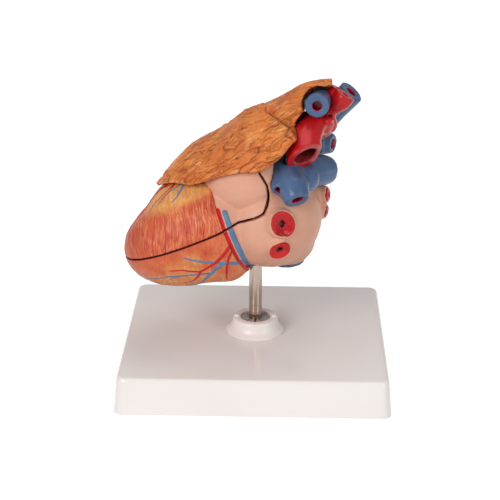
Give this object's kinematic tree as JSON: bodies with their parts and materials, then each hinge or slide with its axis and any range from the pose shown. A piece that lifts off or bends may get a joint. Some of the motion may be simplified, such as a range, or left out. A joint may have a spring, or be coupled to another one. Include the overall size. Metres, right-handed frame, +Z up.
{
  "type": "human heart anatomy model",
  "caption": "Life-size take-apart human heart with lift-off front wall and thymus, coloured vessels and inner valves, on a steel rod and a square white base.",
  "frame": {"origin": "centre of the base's underside", "axes": "+Z up, +X towards the back of the heart, -Y towards the heart's left side"},
  "size_m": [0.1638, 0.1538, 0.1844],
  "materials": {
    "base_white": "glossy moulded white",
    "socket_white": "glossy moulded white",
    "grip_grey": "moulded, matt",
    "steel": "polished steel",
    "muscle": "cast and hand painted, semi-gloss",
    "atrium_pink": "cast and painted, semi-gloss",
    "artery_red": "glossy painted casting",
    "vein_blue": "glossy painted casting",
    "valve_cream": "painted cream",
    "thymus_tan": "cast with fine wrinkles, semi-gloss"
  },
  "bodies": {
    "stand": {"base_plate": "base_white", "rod_socket": "socket_white", "rod_grip_ring": "grip_grey", "socket_washer": "steel", "socket_nut": "steel"},
    "rod": {"support_rod": "steel"},
    "heart": {"rod_bush": "steel", "ventricles_back": "muscle", "atria": "atrium_pink", "aorta": "artery_red", "arch_branches": "artery_red", "pulmonary_artery": "vein_blue", "superior_vena_cava": "vein_blue", "left_brachiocephalic_vein": "vein_blue", "inferior_vena_cava": "vein_blue", "left_pulmonary_veins": "artery_red", "right_pulmonary_veins": "artery_red", "mitral_valve": "valve_cream", "tricuspid_valve": "valve_cream", "aortic_valve": "valve_cream", "pulmonary_valve": "valve_cream", "left_papillary_muscles": "muscle", "right_papillary_muscles": "muscle", "left_chordae": "valve_cream", "right_chordae": "valve_cream", "wall_pins": "steel"},
    "front_wall": {"front_wall": "muscle", "left_auricle": "atrium_pink", "right_auricle": "atrium_pink"},
    "thymus": {"thymus": "thymus_tan", "thymus_pegs": "steel"}
  },
  "joints": [
    {"name": "rod_turn", "type": "hinge", "parent": "stand", "child": "rod", "pos_m": [0, 0, 0.02], "axis": [0, 0, 1], "continuous": true},
    {"name": "heart_lift", "type": "slide", "parent": "rod", "child": "heart", "axis": [0, 0, 1], "range_m": [0, 0.06]},
    {"name": "front_wall_release", "type": "slide", "parent": "heart", "child": "front_wall", "axis": [-0.6429, 0, 0.7659], "range_m": [0, 0.08]},
    {"name": "thymus_release", "type": "slide", "parent": "front_wall", "child": "thymus", "axis": [-0.5299, 0, 0.848], "range_m": [0, 0.06]}
  ]
}
